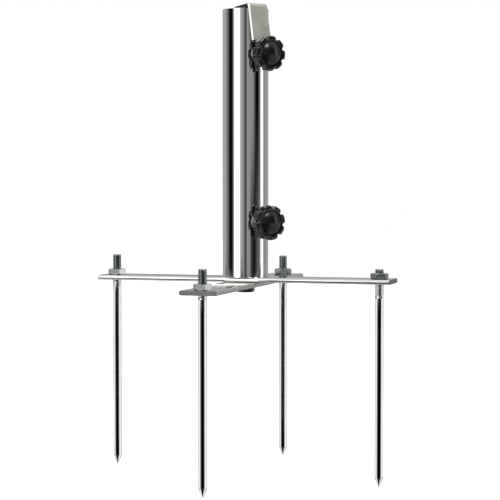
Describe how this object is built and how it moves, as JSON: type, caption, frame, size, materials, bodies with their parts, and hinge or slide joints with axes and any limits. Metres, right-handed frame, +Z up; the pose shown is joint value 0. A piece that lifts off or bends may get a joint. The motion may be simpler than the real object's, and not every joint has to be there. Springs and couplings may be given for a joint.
{
  "type": "ground anchor with spikes and a pole socket",
  "caption": "Ground anchor: a bright round pole socket with clamp strip and star knobs on a cross of flat bars with pointed spikes.",
  "frame": {"origin": "on the pole socket's axis, in the plane of the lower cross bar's underside, where the spikes leave it", "axes": "+X along the upper cross bar, +Y along the lower cross bar, +Z up along the pole socket"},
  "size_m": [0.32, 0.32, 0.5026],
  "materials": {
    "tube_chrome": "bright plated, mirror-like with fine draw lines",
    "bar_steel": "bright zinc with a fine rolled grain and dull sheared edges",
    "spike_steel": "bright drawn rod with rolled thread",
    "zinc_nut": "blue-white zinc",
    "zinc_thread": "blue-white zinc",
    "plain_steel": "dull plated steel",
    "strip_steel": "matt zinc with bright cut edges",
    "dark_bolt": "black oxide",
    "knob_plastic": "satin moulded",
    "cap_plastic": "satin moulded, a little glossier on the dome"
  },
  "bodies": {
    "root": {"socket_tube": "tube_chrome", "tube_plug": "plain_steel", "cross_bar_upper": "bar_steel", "centre_bolt": "dark_bolt", "spike_left": "spike_steel", "spike_right": "spike_steel", "lock_nut_left": "zinc_nut", "lock_nut_right": "zinc_nut", "weld_nut_upper": "plain_steel", "weld_nut_lower": "plain_steel"},
    "lower_cross": {"cross_bar_lower": "bar_steel", "spike_front": "spike_steel", "spike_back": "spike_steel", "lock_nut_front": "zinc_nut", "lock_nut_back": "zinc_nut"},
    "strip": {"clamp_strip": "strip_steel"},
    "upper_screw": {"clamp_screw_upper": "zinc_thread", "knob_upper": "knob_plastic", "knob_cap_upper": "cap_plastic"},
    "lower_screw": {"clamp_screw_lower": "zinc_thread", "knob_lower": "knob_plastic", "knob_cap_lower": "cap_plastic"}
  },
  "joints": [
    {"name": "cross_bar_swivel", "type": "hinge", "parent": "root", "child": "lower_cross", "pos_m": [0, 0, 0.0025], "axis": [0, 0, 1], "range_deg": [-75, 75]},
    {"name": "clamp_slide", "type": "slide", "parent": "root", "child": "strip", "axis": [0.7771, -0.6293, 0], "range_m": [0, 0.00875]},
    {"name": "upper_knob_turn", "type": "hinge", "parent": "strip", "child": "upper_screw", "pos_m": [0, 0, 0.243], "axis": [0.7771, -0.6293, 0], "range_deg": [0, 2521]},
    {"name": "lower_knob_turn", "type": "hinge", "parent": "strip", "child": "lower_screw", "pos_m": [0, 0, 0.068], "axis": [0.7771, -0.6293, 0], "range_deg": [0, 2521]}
  ],
  "couplings": [
    {"joint": "upper_knob_turn", "follows": "clamp_slide", "rad_per_m": 5026.5},
    {"joint": "lower_knob_turn", "follows": "clamp_slide", "rad_per_m": 5026.5}
  ]
}
